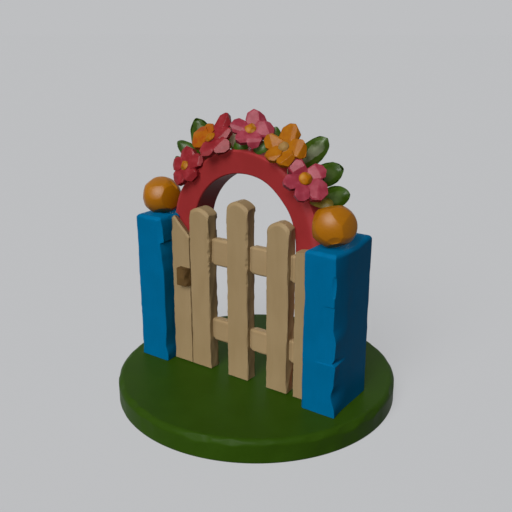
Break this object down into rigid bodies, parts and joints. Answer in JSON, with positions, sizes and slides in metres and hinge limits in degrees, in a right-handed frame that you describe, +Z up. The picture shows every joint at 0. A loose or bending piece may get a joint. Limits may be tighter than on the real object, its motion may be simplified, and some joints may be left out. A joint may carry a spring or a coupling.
{
  "type": "garden arch with gate",
  "caption": "Miniature garden arch with a hinged picket gate, sliding latch, square posts with ball finials, and a garland of flowers and leaves, on a round base.",
  "frame": {"origin": "middle of the round base's underside", "axes": "+Z up, the gate's front and the hinges' knuckles face -Y, the latch is at -X and the hinges at +X"},
  "size_m": [0.15, 0.15, 0.151],
  "materials": {
    "green_base": "dark green gloss paint on carved wood, worn lighter at the rim",
    "blue_posts": "blue satin paint on carved wood",
    "orange_balls": "orange-yellow gloss paint on carved wood",
    "red_arch": "red satin paint on carved wood",
    "red_petals": "red satin paint, dry-brushed paler",
    "pink_petals": "pink satin paint, dry-brushed paler",
    "orange_petals": "orange satin paint, dry-brushed paler",
    "yellow_buttons": "yellow satin paint",
    "green_leaves": "leaf green satin paint with a pale sheen",
    "bare_wood": "carved bare wood, oiled",
    "dark_wood": "dark stained wood",
    "hinge_brass": "aged brass"
  },
  "bodies": {
    "frame": {"base_disc": "green_base", "left_post": "blue_posts", "left_post_front_dowel": "bare_wood", "left_post_back_dowel": "bare_wood", "left_leg_dowel": "bare_wood", "left_ball": "orange_balls", "left_ball_peg": "bare_wood", "right_post": "blue_posts", "right_post_front_dowel": "bare_wood", "right_post_back_dowel": "bare_wood", "right_leg_dowel": "bare_wood", "right_ball": "orange_balls", "right_ball_peg": "bare_wood", "arch": "red_arch", "upper_hinge_post_leaf": "hinge_brass", "upper_hinge_pin": "hinge_brass", "upper_hinge_post_screw": "hinge_brass", "lower_hinge_post_leaf": "hinge_brass", "lower_hinge_pin": "hinge_brass", "lower_hinge_post_screw": "hinge_brass", "red_flower_left": "red_petals", "red_flower_left_pin": "yellow_buttons", "red_flower_top": "red_petals", "red_flower_top_pin": "yellow_buttons", "pink_flower_top": "pink_petals", "pink_flower_top_pin": "yellow_buttons", "orange_flower": "orange_petals", "orange_flower_pin": "yellow_buttons", "pink_flower_right": "pink_petals", "pink_flower_right_pin": "yellow_buttons", "leaf_left_upright": "green_leaves", "leaf_left_outer": "green_leaves", "leaf_left_low": "green_leaves", "leaf_left_front": "green_leaves", "leaf_gap_pale": "green_leaves", "leaf_top_left": "green_leaves", "leaf_top_right": "green_leaves", "leaf_top_point": "green_leaves", "leaf_right_upright": "green_leaves", "leaf_right_outer": "green_leaves", "leaf_right_low": "green_leaves", "leaf_right_front": "green_leaves", "leaf_right_shaded": "green_leaves", "leaf_back_left": "green_leaves", "leaf_back_middle_left": "green_leaves", "leaf_back_middle_right": "green_leaves"},
    "gate": {"latch_stile": "bare_wood", "left_picket": "bare_wood", "centre_picket": "bare_wood", "right_picket": "bare_wood", "hinge_stile": "bare_wood", "upper_rail": "bare_wood", "lower_rail": "bare_wood", "upper_hinge_gate_leaf": "hinge_brass", "upper_hinge_gate_screw": "hinge_brass", "lower_hinge_gate_leaf": "hinge_brass", "lower_hinge_gate_screw": "hinge_brass"},
    "latch": {"latch_bolt": "dark_wood", "latch_block": "dark_wood"}
  },
  "joints": [
    {"name": "gate_swing", "type": "hinge", "parent": "frame", "child": "gate", "pos_m": [0.04325, -0.01975, 0.05], "axis": [0, 0, 1], "range_deg": [0, 105]},
    {"name": "latch_slide", "type": "slide", "parent": "gate", "child": "latch", "axis": [-1, 0, 0], "range_m": [0, 0.0045]}
  ]
}
